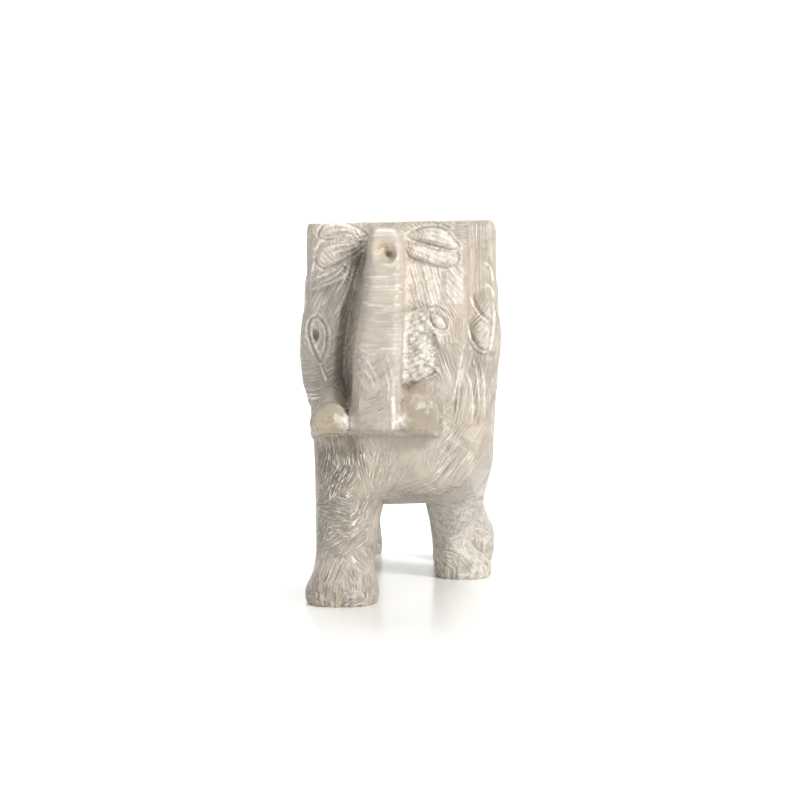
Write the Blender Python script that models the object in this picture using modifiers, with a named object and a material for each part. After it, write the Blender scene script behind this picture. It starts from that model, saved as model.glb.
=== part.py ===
"""Elephant figurine, carved from one block of pale soft stone.

The block shows in the flat top and the square upper corners. The trunk is raised against the forehead,
the tusks are short stumps, the legs are caught walking. The figure faces -Y and stands on z = 0.
Lengths are in metres. Places are shares of the figure: x of WIDTH from the drawing's middle line, depth of
LENGTH from the front toe, height of HEIGHT from the floor.
"""
import bpy
import bmesh
import numpy as np
from math import cos, pi, radians, sin, tan
from mathutils import Matrix, Vector

HEIGHT = 0.100              # soles to the front edge of the flat top, at the trunk
WIDTH = 0.0557              # across the block, which the two ears all but fill
LENGTH = 0.1107             # trunk to tail
FORELEG_WIDTH = 0.0188      # across the foot
HIND_LEG_WIDTH = 0.0190
TRUNK_WIDTH = 0.0132        # at the root
TUSK_WIDTH = 0.0114
TAIL_WIDTH = 0.0056
TOP_RISE = radians(1.3)     # the flat top rises a little to the figure's left
TOP_FALL = radians(0.5)     # and falls a little to the back
FACE_EDGE = 0.0016          # width of the eased edges
CROWN_EDGE = 0.0030
CHIN_EDGE = 0.0009
EAR_EDGE = 0.0011

GRAIN = 0.0008              # side of the cells that join the masses into one skin
EASING = 4                  # rounds of smoothing over the joined skin
FACES = 9400                # triangles left in the finished solid
WELD = 1e-7                 # how near a corner counts as lying on the saw's cut

STONE_COLOUR = (0.60, 0.55, 0.475, 1.0)
STONE_ROUGHNESS = 0.5

# Body, stations from chest to rump: depth, middle x, half width as a share of WIDTH, underside, upper side,
# and squareness: 2 is an ellipse, and more is squarer
BODY = (
    (0.049, -0.027, 0.197, 0.335, 0.43, 2.4),
    (0.067, -0.011, 0.287, 0.296, 0.454, 2.7),
    (0.099, 0.011, 0.368, 0.27, 0.62, 3.2),
    (0.154, 0.018, 0.409, 0.25, 0.9, 4.0),
    (0.235, 0.018, 0.438, 0.242, 1.014, 6.0),
    (0.325, 0.018, 0.443, 0.238, 1.014, 7.0),
    (0.416, 0.02, 0.433, 0.235, 1.014, 6.4),
    (0.524, 0.022, 0.436, 0.233, 1.014, 5.0),
    (0.65, 0.022, 0.442, 0.234, 1.01, 4.0),
    (0.759, 0.022, 0.44, 0.238, 0.994, 3.4),
    (0.84, 0.022, 0.427, 0.25, 0.958, 3.0),
    (0.903, 0.022, 0.395, 0.28, 0.89, 2.8),
    (0.943, 0.022, 0.305, 0.36, 0.78, 2.6),
)

# The face and the crown behind it, and the chin slab under the tusks: lowest and highest corner
FACE = ((-0.413, 0.094, 0.46), (0.327, 0.244, 1.008))
FACE_TURN = radians(-5.0)
CROWN = ((-0.443, 0.136, 0.5), (0.457, 0.289, 1.008))
CHIN = ((-0.417, 0.005, 0.429), (0.194, 0.199, 0.468))

# Legs, stations from the thigh down: height, x, depth, half width and half depth as shares of the foot
FRONT_RIGHT = (
    (0.6, -0.223, 0.217, 0.553, 0.665),
    (0.45, -0.232, 0.177, 0.532, 0.691),
    (0.34, -0.235, 0.15, 0.5, 0.638),
    (0.24, -0.246, 0.13, 0.46, 0.564),
    (0.16, -0.256, 0.112, 0.42, 0.5),
    (0.1, -0.259, 0.101, 0.42, 0.479),
    (0.064, -0.267, 0.096, 0.46, 0.516),
    (0.03, -0.275, 0.092, 0.51, 0.543),
    (-0.01, -0.274, 0.093, 0.492, 0.527),
)
FRONT_LEFT = (
    (0.6, 0.262, 0.244, 0.553, 0.745),
    (0.46, 0.267, 0.249, 0.505, 0.809),
    (0.35, 0.271, 0.293, 0.46, 0.766),
    (0.25, 0.275, 0.361, 0.441, 0.66),
    (0.18, 0.272, 0.411, 0.388, 0.532),
    (0.12, 0.263, 0.446, 0.309, 0.457),
    (0.08, 0.265, 0.461, 0.287, 0.457),
    (0.052, 0.296, 0.47, 0.383, 0.511),
    (0.028, 0.318, 0.473, 0.42, 0.543),
    (-0.01, 0.318, 0.473, 0.415, 0.532),
)
HIND_LEFT = (
    (0.58, 0.28, 0.759, 0.516, 0.868),
    (0.44, 0.294, 0.763, 0.474, 0.789),
    (0.32, 0.305, 0.768, 0.416, 0.642),
    (0.22, 0.311, 0.768, 0.379, 0.516),
    (0.165, 0.314, 0.764, 0.375, 0.484),
    (0.13, 0.322, 0.757, 0.395, 0.521),
    (0.085, 0.34, 0.746, 0.47, 0.579),
    (0.036, 0.34, 0.744, 0.475, 0.579),
    (-0.01, 0.334, 0.746, 0.442, 0.526),
)
HIND_RIGHT = (
    (0.58, -0.233, 0.777, 0.516, 0.842),
    (0.44, -0.241, 0.8, 0.484, 0.737),
    (0.32, -0.246, 0.822, 0.437, 0.611),
    (0.22, -0.246, 0.838, 0.405, 0.505),
    (0.14, -0.248, 0.844, 0.4, 0.474),
    (0.08, -0.25, 0.84, 0.426, 0.505),
    (0.034, -0.251, 0.836, 0.458, 0.547),
    (-0.01, -0.251, 0.836, 0.442, 0.532),
)
LEGS = (
    (FRONT_RIGHT, FORELEG_WIDTH),
    (FRONT_LEFT, FORELEG_WIDTH),
    (HIND_LEFT, HIND_LEG_WIDTH),
    (HIND_RIGHT, HIND_LEG_WIDTH),
)
LEG_SQUARENESS = 2.7

# Trunk, raised in front of the face: height, x, depth, half width and half depth as shares of TRUNK_WIDTH
TRUNK = (
    (0.446, -0.111, 0.06, 0.409, 0.621),
    (0.475, -0.111, 0.058, 0.492, 0.727),
    (0.53, -0.111, 0.054, 0.5, 0.727),
    (0.6, -0.106, 0.056, 0.485, 0.697),
    (0.68, -0.101, 0.061, 0.485, 0.682),
    (0.76, -0.088, 0.065, 0.439, 0.667),
    (0.84, -0.075, 0.067, 0.394, 0.636),
    (0.91, -0.066, 0.067, 0.371, 0.591),
    (0.955, -0.068, 0.072, 0.333, 0.523),
    (0.98, -0.072, 0.081, 0.212, 0.379),
)
TRUNK_SQUARENESS = 4.5

# Tusk stumps, from the cheek down to the blunt end: x, depth, height, radius as a share of TUSK_WIDTH
TUSK_RIGHT = (
    (-0.309, 0.126, 0.585, 0.246),
    (-0.312, 0.078, 0.545, 0.281),
    (-0.32, 0.036, 0.502, 0.386),
    (-0.323, 0.005, 0.484, 0.465),
    (-0.323, -0.02, 0.481, 0.43),
    (-0.323, -0.033, 0.481, 0.246),
)
TUSK_LEFT = (
    (0.251, 0.172, 0.615, 0.228),
    (0.19, 0.096, 0.575, 0.333),
    (0.108, 0.045, 0.53, 0.456),
    (0.086, 0.011, 0.504, 0.5),
    (0.083, -0.018, 0.494, 0.456),
    (0.083, -0.033, 0.492, 0.254),
)
# Tail with its tuft: x, depth, height, radius as a share of TAIL_WIDTH
TAIL = (
    (0.043, 0.872, 0.95, 0.286),
    (0.043, 0.921, 0.87, 0.393),
    (0.05, 0.949, 0.74, 0.357),
    (0.061, 0.945, 0.6, 0.321),
    (0.079, 0.932, 0.47, 0.321),
    (0.093, 0.911, 0.38, 0.482),
    (0.104, 0.891, 0.31, 0.5),
    (0.111, 0.883, 0.27, 0.25),
)
ROUND = 2.0                 # squareness of the tusks and the tail

# Ears, fans laid back along the sides: the outline as (depth, height), then the x where each fan starts,
# the x of its front edge and the x of its back edge
EAR = (
    (0.18, 0.8), (0.222, 0.84), (0.304, 0.856), (0.4, 0.84), (0.458, 0.77), (0.46, 0.676),
    (0.428, 0.594), (0.372, 0.546), (0.294, 0.53), (0.229, 0.54), (0.184, 0.59), (0.17, 0.7),
)
EAR_RIGHT_REACH = (-0.359, -0.447, -0.485)
EAR_LEFT_REACH = (0.362, 0.466, 0.49)
# The front folds of the ears, which lap round onto the face: the middle, then the half sizes
EAR_RIGHT_FOLD = ((-0.417, 0.157, 0.66), (0.059, 0.045, 0.136))
EAR_LEFT_FOLD = ((0.391, 0.139, 0.686), (0.088, 0.043, 0.134))

# Carving. Each path is drawn on the front (x, height) or on a side (depth, height), in shares. A cut is a
# width and a depth in metres, and a negative depth leaves the stone raised.
FRONT_LIMIT = 0.361         # nothing behind this depth belongs to the front
TRUNK_BACK = 0.054          # the trunk lies in front of this depth and the face behind it
SIDE_START = 0.215          # the sides begin this far from the middle
CROWN_START = 0.90          # the top begins at this height
FACING = 1.6                # how soon a cut fades where the stone turns away from the chisel
PETALS = (
    ((-0.154, 0.946), (-0.206, 0.964), (-0.278, 0.958), (-0.352, 0.946), (-0.399, 0.916),
     (-0.384, 0.882), (-0.312, 0.882), (-0.233, 0.906)),
    ((-0.176, 0.972), (-0.248, 0.994), (-0.352, 0.992), (-0.391, 0.966), (-0.348, 0.953),
     (-0.273, 0.966)),
    ((0.022, 0.942), (0.118, 0.94), (0.215, 0.924), (0.276, 0.908), (0.259, 0.882), (0.197, 0.881),
     (0.104, 0.889), (0.043, 0.904)),
    ((0.032, 0.966), (0.126, 0.986), (0.205, 0.978), (0.262, 0.946), (0.284, 0.922), (0.219, 0.931),
     (0.118, 0.947)),
)
PETAL_RISE = 0.0009
PETAL_SLOPE = 0.0009
PETAL_CUT = (0.0010, 0.0006)

RINGS = (0.695, 0.721, 0.746, 0.771, 0.795, 0.819, 0.842, 0.866)
RING_BOW = 0.009            # how far the middle of a ring hangs below its ends
RING_CUT = (0.0011, 0.00055)
LIP_FOLDS = (
    ((-0.219, 0.665), (-0.154, 0.64), (-0.072, 0.662)),
    ((-0.223, 0.63), (-0.151, 0.596), (-0.047, 0.64)),
    ((-0.226, 0.59), (-0.144, 0.554), (-0.032, 0.606)),
)
NOSTRIL = (-0.063, 0.919)
NOSTRIL_RADIUS = 0.0031
NOSTRIL_DEPTH = 0.0017
BORE = (-0.043, 0.913)
BORE_RADIUS = 0.0010
BORE_DEPTH = 0.0030

EYE_RIGHT = (-0.388, 0.694)
EYE_RIGHT_SIZE = (0.0023, 0.0052)
EYE_RIGHT_TURN = radians(-8.0)
EYE_LEFT = (0.176, 0.736)
EYE_LEFT_SIZE = (0.0029, 0.0015)
EYE_LEFT_TURN = radians(-28.0)
SOCKET_SHARE = 1.3          # the hollow round the eye, as a share of the eye
SOCKET_DEPTH = 0.0009
BALL_SHARE = 0.8
BALL_RISE = 0.0013

TRUNK_SHADOW = ((-0.172, 0.91), (-0.2, 0.85), (-0.232, 0.77), (-0.256, 0.69), (-0.265, 0.6), (-0.256, 0.53))
TRUNK_SHADOW_CUT = (0.0020, 0.0028)
BROW = ((-0.226, 0.88), (-0.273, 0.849), (-0.427, 0.817))
EAR_SCROLLS = (
    ((0.402, 0.886), (0.438, 0.866), (0.449, 0.834)),
    ((0.417, 0.826), (0.443, 0.81), (0.452, 0.78)),
    ((0.345, 0.79), (0.373, 0.754), (0.427, 0.724)),
    ((0.323, 0.73), (0.348, 0.674), (0.384, 0.65), (0.431, 0.648)),
    ((0.309, 0.668), (0.28, 0.586), (0.25, 0.516)),
    ((0.309, 0.608), (0.346, 0.53), (0.346, 0.476)),
)
SCROLL_CUT = (0.0013, 0.0009)
CHEEK_BAND = ((0.081, 0.762), (0.147, 0.724), (0.19, 0.676))
CHEEK_RISE = (0.0016, -0.0006)
CHEST_LINES = (
    ((-0.118, 0.408), (-0.054, 0.35), (0.018, 0.32), (0.144, 0.34)),
    ((0.162, 0.45), (0.251, 0.385), (0.334, 0.336)),
    ((0.233, 0.465), (0.323, 0.405), (0.388, 0.36)),
)
CHEST_CUT = (0.0012, 0.00055)

# Side carving: folds of the ear, the hip and the shoulder, and the crease of the neck over the top
EAR_FOLDS = (
    ((0.226, 0.84), (0.316, 0.846), (0.394, 0.78), (0.407, 0.67)),
    ((0.222, 0.78), (0.302, 0.76), (0.35, 0.67), (0.34, 0.574)),
    ((0.217, 0.71), (0.266, 0.67), (0.28, 0.57)),
)
HIP = ((0.65, 0.4), (0.632, 0.52), (0.668, 0.64), (0.759, 0.7), (0.849, 0.68))
SHOULDER = ((0.434, 0.5), (0.461, 0.42), (0.47, 0.34))
SIDE_CUT = (0.0015, 0.0008)
NECK_CREASE = ((-0.431, 0.343), (-0.18, 0.365), (0.0, 0.37), (0.18, 0.365), (0.431, 0.343))
NECK_CREASE_CUT = (0.0034, 0.0009)

TOES = 4                    # nails on each foot
TOE_ARC = radians(104.0)    # the arc of the foot that they share
TOE_HEIGHT = 0.0036
TOE_FADE = 0.0015           # height over which the cuts run out
TOE_CUT = (0.0009, 0.0007)
TOE_RIM = (0.7, 1.5)        # how near and how far from the foot's middle a nail lies, as shares of its size


def clear_scene():
    for ob in list(bpy.data.objects):
        bpy.data.objects.remove(ob, do_unlink=True)


def collection(name):
    made = bpy.data.collections.get(name) or bpy.data.collections.new(name)
    if made.name not in bpy.context.scene.collection.children:
        bpy.context.scene.collection.children.link(made)
    return made


def place(x, depth, height):
    """A point of the figure from its shares of the width, the length and the height."""
    return Vector((x * WIDTH, depth * LENGTH, height * HEIGHT))


def block(corners, edge, turn=0.0):
    """A box with eased edges, turned about the upright through its middle."""
    low, high = place(*corners[0]), place(*corners[1])
    bm = bmesh.new()
    bmesh.ops.create_cube(bm, size=1.0)
    bmesh.ops.scale(bm, vec=high - low, verts=bm.verts)
    bmesh.ops.bevel(bm, geom=bm.edges[:], offset=edge, segments=3, profile=0.5, affect="EDGES")
    bmesh.ops.rotate(bm, cent=(0, 0, 0), matrix=Matrix.Rotation(turn, 3, "Z"), verts=bm.verts)
    bmesh.ops.translate(bm, vec=(low + high) / 2, verts=bm.verts)
    return bm


def ball(centre, half_sizes):
    """A round mass, squeezed to three half sizes."""
    bm = bmesh.new()
    bmesh.ops.create_uvsphere(bm, u_segments=32, v_segments=20, radius=1.0)
    bmesh.ops.scale(bm, vec=place(*half_sizes), verts=bm.verts)
    bmesh.ops.translate(bm, vec=place(*centre), verts=bm.verts)
    return bm


def ring(centre, across, along, half_across, half_along, squareness, count=40):
    """Points round a rounded rectangle."""
    points = []
    for i in range(count):
        a = 2 * pi * i / count
        c, s = cos(a), sin(a)
        u = abs(c) ** (2 / squareness) * (1 if c >= 0 else -1) * half_across
        v = abs(s) ** (2 / squareness) * (1 if s >= 0 else -1) * half_along
        points.append(centre + Vector(across) * u + Vector(along) * v)
    return points


def skin(rings):
    """A closed mass over a row of rings, with a flat cap at each end."""
    bm = bmesh.new()
    rows = [[bm.verts.new(p) for p in points] for points in rings]
    count = len(rows[0])
    for upper, lower in zip(rows, rows[1:]):
        for i in range(count):
            j = (i + 1) % count
            bm.faces.new((upper[i], upper[j], lower[j], lower[i]))
    bm.faces.new(list(reversed(rows[0])))
    bm.faces.new(rows[-1])
    bmesh.ops.recalc_face_normals(bm, faces=bm.faces)
    return bm


def eased(stations, steps=4):
    """More stations along the same run, on a smooth curve through the ones given."""
    rows = [tuple(map(float, s)) for s in stations]
    first = [2 * a - b for a, b in zip(rows[0], rows[1])]
    last = [2 * a - b for a, b in zip(rows[-1], rows[-2])]
    padded = [first] + rows + [last]
    out = []
    for k in range(1, len(padded) - 2):
        for s in range(steps):
            t = s / steps
            out.append([
                0.5 * (2 * b + (c - a) * t + (2 * a - 5 * b + 4 * c - d) * t * t
                       + (3 * b - a - 3 * c + d) * t ** 3)
                for a, b, c, d in zip(*padded[k - 1:k + 3])
            ])
    out.append(rows[-1])
    return out


def barrel(stations):
    """The body: rings across x and height, set one behind the other."""
    rings = []
    for depth, x, half_width, under, upper, squareness in eased(stations):
        centre = place(x, depth, (under + upper) / 2)
        half_height = (upper - under) * HEIGHT / 2
        rings.append(ring(centre, (1, 0, 0), (0, 0, 1), half_width * WIDTH, half_height, squareness, 56))
    return skin(rings)


def column(stations, width, squareness):
    """A leg or the trunk: level rings, one below the other."""
    rings = []
    for height, x, depth, half_width, half_depth in eased(stations):
        centre = place(x, depth, height)
        rings.append(ring(centre, (1, 0, 0), (0, 1, 0), half_width * width, half_depth * width, squareness))
    return skin(rings)


def fan(outline, reach):
    """An ear: a smooth outline on the side of the head, drawn out to a face that stands off at the back."""
    bm = bmesh.new()
    start, front, back = [share * WIDTH for share in reach]
    corners = [place(0, *corner) for corner in eased(outline + outline[:1], 5)[:-1]]
    first = min(corner.y for corner in corners)
    last = max(corner.y for corner in corners)
    rim = [bm.verts.new((start, corner.y, corner.z)) for corner in corners]
    flat = bm.faces.new(rim)
    drawn = bmesh.ops.extrude_face_region(bm, geom=[flat])["geom"]
    moved = [g for g in drawn if isinstance(g, bmesh.types.BMVert)]
    for v in moved:
        v.co.x = front + (back - front) * (v.co.y - first) / (last - first)
    bmesh.ops.recalc_face_normals(bm, faces=bm.faces)
    outer = [e for e in bm.edges if all(v in moved for v in e.verts)]
    bmesh.ops.bevel(bm, geom=outer, offset=EAR_EDGE, segments=2, profile=0.5, affect="EDGES")
    return bm


def rope(stations, width):
    """A tusk or the tail: round rings square to the run."""
    rows = eased(stations, 5)
    places = [place(*row[:3]) for row in rows]
    rings = []
    for i, row in enumerate(rows):
        run = places[min(i + 1, len(rows) - 1)] - places[max(i - 1, 0)]
        across = run.normalized().orthogonal().normalized()
        along = run.normalized().cross(across)
        rings.append(ring(places[i], across, along, row[3] * width, row[3] * width, ROUND, 28))
    return skin(rings)


def masses():
    """Every rough mass of the figure in one mesh."""
    rough = [barrel(BODY), block(FACE, FACE_EDGE, FACE_TURN), block(CROWN, CROWN_EDGE)]
    rough.append(block(CHIN, CHIN_EDGE))
    rough += [column(leg, width, LEG_SQUARENESS) for leg, width in LEGS]
    rough += [column(TRUNK, TRUNK_WIDTH, TRUNK_SQUARENESS), rope(TAIL, TAIL_WIDTH)]
    rough += [rope(tusk, TUSK_WIDTH) for tusk in (TUSK_RIGHT, TUSK_LEFT)]
    rough += [fan(EAR, reach) for reach in (EAR_RIGHT_REACH, EAR_LEFT_REACH)]
    rough += [ball(*fold) for fold in (EAR_RIGHT_FOLD, EAR_LEFT_FOLD)]
    whole = bmesh.new()
    for bm in rough:
        mesh = bpy.data.meshes.new("mass")
        bm.to_mesh(mesh)
        bm.free()
        whole.from_mesh(mesh)
        bpy.data.meshes.remove(mesh)
    mesh = bpy.data.meshes.new("masses")
    whole.to_mesh(mesh)
    whole.free()
    return mesh


def evaluated(ob):
    """The object's mesh with its modifiers applied, as a new mesh."""
    depsgraph = bpy.context.evaluated_depsgraph_get()
    depsgraph.update()
    return bpy.data.meshes.new_from_object(ob.evaluated_get(depsgraph), depsgraph=depsgraph)


def with_modifiers(mesh, home, steps):
    """Runs modifiers over a mesh. Each step is a modifier type and its settings."""
    ob = bpy.data.objects.new("rough", mesh)
    home.objects.link(ob)
    for kind, settings in steps:
        modifier = ob.modifiers.new(kind.title(), kind)
        for key, value in settings.items():
            setattr(modifier, key, value)
    made = evaluated(ob)
    bpy.data.objects.remove(ob, do_unlink=True)
    return made


def coordinates(mesh):
    points = np.empty(len(mesh.vertices) * 3)
    mesh.vertices.foreach_get("co", points)
    normals = np.empty(len(mesh.vertices) * 3)
    mesh.vertices.foreach_get("normal", normals)
    return points.reshape(-1, 3), normals.reshape(-1, 3)


def distance_to_path(flat, path, closed=False):
    """How far each point of a drawing lies from a line through the path's points."""
    nearest = np.full(len(flat), np.inf)
    for a, b in zip(path, path[1:] + path[:1] if closed else path[1:]):
        run = b - a
        share = np.clip((flat - a) @ run / (run @ run), 0.0, 1.0)
        nearest = np.minimum(nearest, np.linalg.norm(flat - a - share[:, None] * run, axis=1))
    return nearest


def inside(flat, outline):
    """Which points of a drawing lie inside a closed outline."""
    x, y = flat[:, 0], flat[:, 1]
    within = np.zeros(len(flat), bool)
    for (ax, ay), (bx, by) in zip(outline, outline[1:] + outline[:1]):
        if ay == by:
            continue
        crosses = (ay > y) != (by > y)
        within ^= crosses & (x < (bx - ax) * (y - ay) / (by - ay) + ax)
    return within


def bell(distance, width):
    """1 on the line, falling smoothly to 0 at the width."""
    return np.clip(1 - (distance / width) ** 2, 0, 1) ** 2


class Side:
    """One side of the figure as a drawing: where its points are and which way the chisel cuts."""

    def __init__(self, points, normals, axis, sign, reach):
        others = [i for i in range(3) if i != axis]
        self.points = points
        self.axis, self.sign = axis, sign
        self.flat = points[:, others]
        self.whole = np.array(place(1, 1, 1))[others]
        self.weight = np.clip(sign * normals[:, axis] * FACING, 0, 1) * reach

    def drawn(self, path):
        """A path in metres from its shares of this side."""
        return [np.array(corner) * self.whole for corner in path]

    def cut(self, amount):
        self.points[:, self.axis] -= self.sign * amount * self.weight

    def groove(self, path, width, depth, closed=False):
        line = self.drawn(path if closed else eased(path))
        self.cut(depth * bell(distance_to_path(self.flat, line, closed), width))

    def pad(self, outline, rise, slope):
        line = self.drawn(outline)
        level = np.clip(distance_to_path(self.flat, line, True) / slope, 0, 1) * inside(self.flat, line)
        self.cut(-rise * level)

    def hollow(self, centre, half_sizes, turn, depth):
        away = self.flat - self.drawn([centre])[0]
        u = away[:, 0] * cos(turn) + away[:, 1] * sin(turn)
        v = -away[:, 0] * sin(turn) + away[:, 1] * cos(turn)
        self.cut(depth * bell(np.hypot(u / half_sizes[0], v / half_sizes[1]), 1.0))


def carve_trunk(front, points):
    """Rings, folds of the lip and the drilled nostril. They lie on the trunk alone."""
    whole = front.weight.copy()
    front.weight = whole * (points[:, 1] < TRUNK_BACK * LENGTH)
    stations = np.array(TRUNK)
    for height in RINGS:
        middle = np.interp(height, stations[:, 0], stations[:, 1])
        half = np.interp(height, stations[:, 0], stations[:, 3]) * TRUNK_WIDTH / WIDTH
        path = [(middle + half * s, height - RING_BOW * (1 - s * s)) for s in (-1.0, -0.5, 0.0, 0.5, 1.0)]
        front.groove(path, *RING_CUT)
    for path in LIP_FOLDS:
        front.groove(path, *RING_CUT)
    front.hollow(NOSTRIL, (NOSTRIL_RADIUS, NOSTRIL_RADIUS), 0.0, NOSTRIL_DEPTH)
    front.hollow(BORE, (BORE_RADIUS, BORE_RADIUS), 0.0, BORE_DEPTH)
    front.weight = whole


def carve_face(front, points):
    """Petals, eyes, brow, the deep cut beside the trunk and the scrolls of the ear."""
    whole = front.weight.copy()
    front.weight = whole * (points[:, 1] > TRUNK_BACK * LENGTH)
    front.groove(TRUNK_SHADOW, *TRUNK_SHADOW_CUT)
    for outline in PETALS:
        front.pad(outline, PETAL_RISE, PETAL_SLOPE)
        front.groove(outline, *PETAL_CUT, closed=True)
    front.groove(BROW, *SCROLL_CUT)
    for share, depth in ((SOCKET_SHARE, SOCKET_DEPTH), (BALL_SHARE, -BALL_RISE)):
        front.hollow(EYE_RIGHT, [share * half for half in EYE_RIGHT_SIZE], EYE_RIGHT_TURN, depth)
        front.hollow(EYE_LEFT, [share * half for half in EYE_LEFT_SIZE], EYE_LEFT_TURN, depth)
    for path in EAR_SCROLLS:
        front.groove(path, *SCROLL_CUT)
    front.groove(CHEEK_BAND, *CHEEK_RISE)
    for path in CHEST_LINES:
        front.groove(path, *CHEST_CUT)
    front.weight = whole


def carve_sides(points, normals):
    """The folds of each ear, the shoulder, the hip and the crease of the neck."""
    for sign in (-1, 1):
        side = Side(points, normals, 0, sign, sign * points[:, 0] > SIDE_START * WIDTH)
        for path in EAR_FOLDS:
            side.groove(path, *SIDE_CUT)
        side.groove(HIP, *SIDE_CUT)
        side.groove(SHOULDER, *SIDE_CUT)
    top = Side(points, normals, 2, 1, points[:, 2] > CROWN_START * HEIGHT)
    top.groove(NECK_CREASE, *NECK_CREASE_CUT)


def carve_toes(points):
    """Cuts between the nails, on the rim of each foot that looks forward."""
    for leg, width in LEGS:
        foot = leg[-2]
        x, depth, height = place(foot[1], foot[2], foot[0])
        half_width, half_depth = foot[3] * width, foot[4] * width
        around = np.arctan2((points[:, 0] - x) / half_width, -(points[:, 1] - depth) / half_depth)
        out = np.hypot((points[:, 0] - x) / half_width, (points[:, 1] - depth) / half_depth)
        low = np.clip((TOE_HEIGHT + TOE_FADE - points[:, 2]) / TOE_FADE, 0, 1)
        low = low * (out > TOE_RIM[0]) * (out < TOE_RIM[1])
        for k in range(TOES + 1):
            angle = TOE_ARC * (k / TOES - 0.5)
            amount = TOE_CUT[1] * bell((around - angle) * half_width, TOE_CUT[0]) * low
            points[:, 0] -= amount * np.sin(angle)
            points[:, 1] += amount * np.cos(angle)


def carve(mesh):
    """Works the joined skin with the chisel, side by side."""
    points, normals = coordinates(mesh)
    front = Side(points, normals, 1, -1, points[:, 1] < FRONT_LIMIT * LENGTH)
    carve_trunk(front, points)
    carve_face(front, points)
    carve_sides(points, normals)
    carve_toes(points)
    mesh.vertices.foreach_set("co", points.ravel())
    mesh.update()


def saw(bm, height, rise, fall, keep_below):
    """A flat cut that leaves a closed face. It rises to the left and falls to the back."""
    cut = bmesh.ops.bisect_plane(
        bm, geom=bm.verts[:] + bm.edges[:] + bm.faces[:], dist=WELD, plane_co=(0, 0, height),
        plane_no=(-tan(rise), tan(fall), 1), clear_outer=keep_below, clear_inner=not keep_below,
    )["geom_cut"]
    rims = [g for g in cut if isinstance(g, bmesh.types.BMEdge)]
    bmesh.ops.holes_fill(bm, edges=rims, sides=0)


def finish(mesh):
    """Saws the soles and the top flat, and sets the figure over its origin."""
    bm = bmesh.new()
    bm.from_mesh(mesh)
    saw(bm, 0.0, 0.0, 0.0, False)
    saw(bm, HEIGHT, TOP_RISE, TOP_FALL, True)
    bmesh.ops.triangulate(bm, faces=bm.faces[:])
    bmesh.ops.recalc_face_normals(bm, faces=bm.faces[:])
    xs = [v.co.x for v in bm.verts]
    ys = [v.co.y for v in bm.verts]
    middle = Vector(((min(xs) + max(xs)) / 2, (min(ys) + max(ys)) / 2, 0.0))
    bmesh.ops.translate(bm, vec=-middle, verts=bm.verts)
    made = bpy.data.meshes.new("elephant")
    bm.to_mesh(made)
    bm.free()
    return made


def stone():
    material = bpy.data.materials.new("stone")
    material.use_nodes = True
    shader = material.node_tree.nodes["Principled BSDF"]
    shader.inputs["Base Color"].default_value = STONE_COLOUR
    shader.inputs["Roughness"].default_value = STONE_ROUGHNESS
    shader.inputs["Metallic"].default_value = 0.0
    return material


def elephant():
    home = collection("elephant_figurine")
    joined = with_modifiers(masses(), home, (
        ("REMESH", {"mode": "VOXEL", "voxel_size": GRAIN, "adaptivity": 0.0}),
        ("SMOOTH", {"factor": 0.5, "iterations": EASING}),
    ))
    carve(joined)
    count = sum(len(p.vertices) - 2 for p in joined.polygons)
    thinned = with_modifiers(joined, home, (
        ("DECIMATE", {"decimate_type": "COLLAPSE", "ratio": FACES / count}),
    ))
    mesh = finish(thinned)
    mesh.materials.clear()
    mesh.materials.append(stone())
    figure = bpy.data.objects.new("elephant", mesh)
    home.objects.link(figure)
    return figure


clear_scene()
elephant()
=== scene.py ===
from math import cos, pi, radians, sin

import bmesh
import bpy
import numpy as np
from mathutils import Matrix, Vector, kdtree, noise


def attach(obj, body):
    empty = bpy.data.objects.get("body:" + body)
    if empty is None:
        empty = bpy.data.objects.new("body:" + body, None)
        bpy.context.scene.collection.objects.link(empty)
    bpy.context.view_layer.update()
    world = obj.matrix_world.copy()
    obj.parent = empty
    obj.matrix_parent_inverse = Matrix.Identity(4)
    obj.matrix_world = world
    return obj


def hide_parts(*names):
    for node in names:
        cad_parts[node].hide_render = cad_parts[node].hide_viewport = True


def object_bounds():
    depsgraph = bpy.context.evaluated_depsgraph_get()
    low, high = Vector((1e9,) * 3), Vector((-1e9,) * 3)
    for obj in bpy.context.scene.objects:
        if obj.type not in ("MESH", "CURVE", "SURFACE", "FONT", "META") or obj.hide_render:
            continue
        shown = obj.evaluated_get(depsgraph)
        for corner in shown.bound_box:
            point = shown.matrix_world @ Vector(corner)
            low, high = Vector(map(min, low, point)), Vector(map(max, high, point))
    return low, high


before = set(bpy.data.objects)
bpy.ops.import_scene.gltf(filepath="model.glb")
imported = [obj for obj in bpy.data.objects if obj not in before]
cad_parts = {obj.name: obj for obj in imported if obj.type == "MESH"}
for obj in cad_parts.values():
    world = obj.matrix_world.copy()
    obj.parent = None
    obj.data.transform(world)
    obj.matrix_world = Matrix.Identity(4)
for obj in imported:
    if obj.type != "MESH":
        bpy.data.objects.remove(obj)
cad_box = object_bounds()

# The block.
# One piece of pale soft stone, sawn flat above and below and carved all round. Its surface starts from the
# solid in the frame: joined again in fine cells and rubbed smooth, before the chisel works it over.
U = 0.001                                       # a millimetre, one hundredth of the height
MIDDLE = np.array((0.613, 51.591, 0.0))         # drawings count x from the lens, depth from the front toe
TOP_HEIGHT = 100.0
TOP_RISE = 0.0227                               # the sawn top rises to the left and falls to the back
TOP_FALL = 0.0087
CELL = 0.42                                     # side of the cells, in millimetres
RUBBING = 7                                     # rounds of smoothing all over, then on the plain parts
RUBBING_PLAIN = 40
TAIL = (90.0, 25.0, 4.0, 6.5)                   # depth and height it starts at, its middle and its reach

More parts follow.
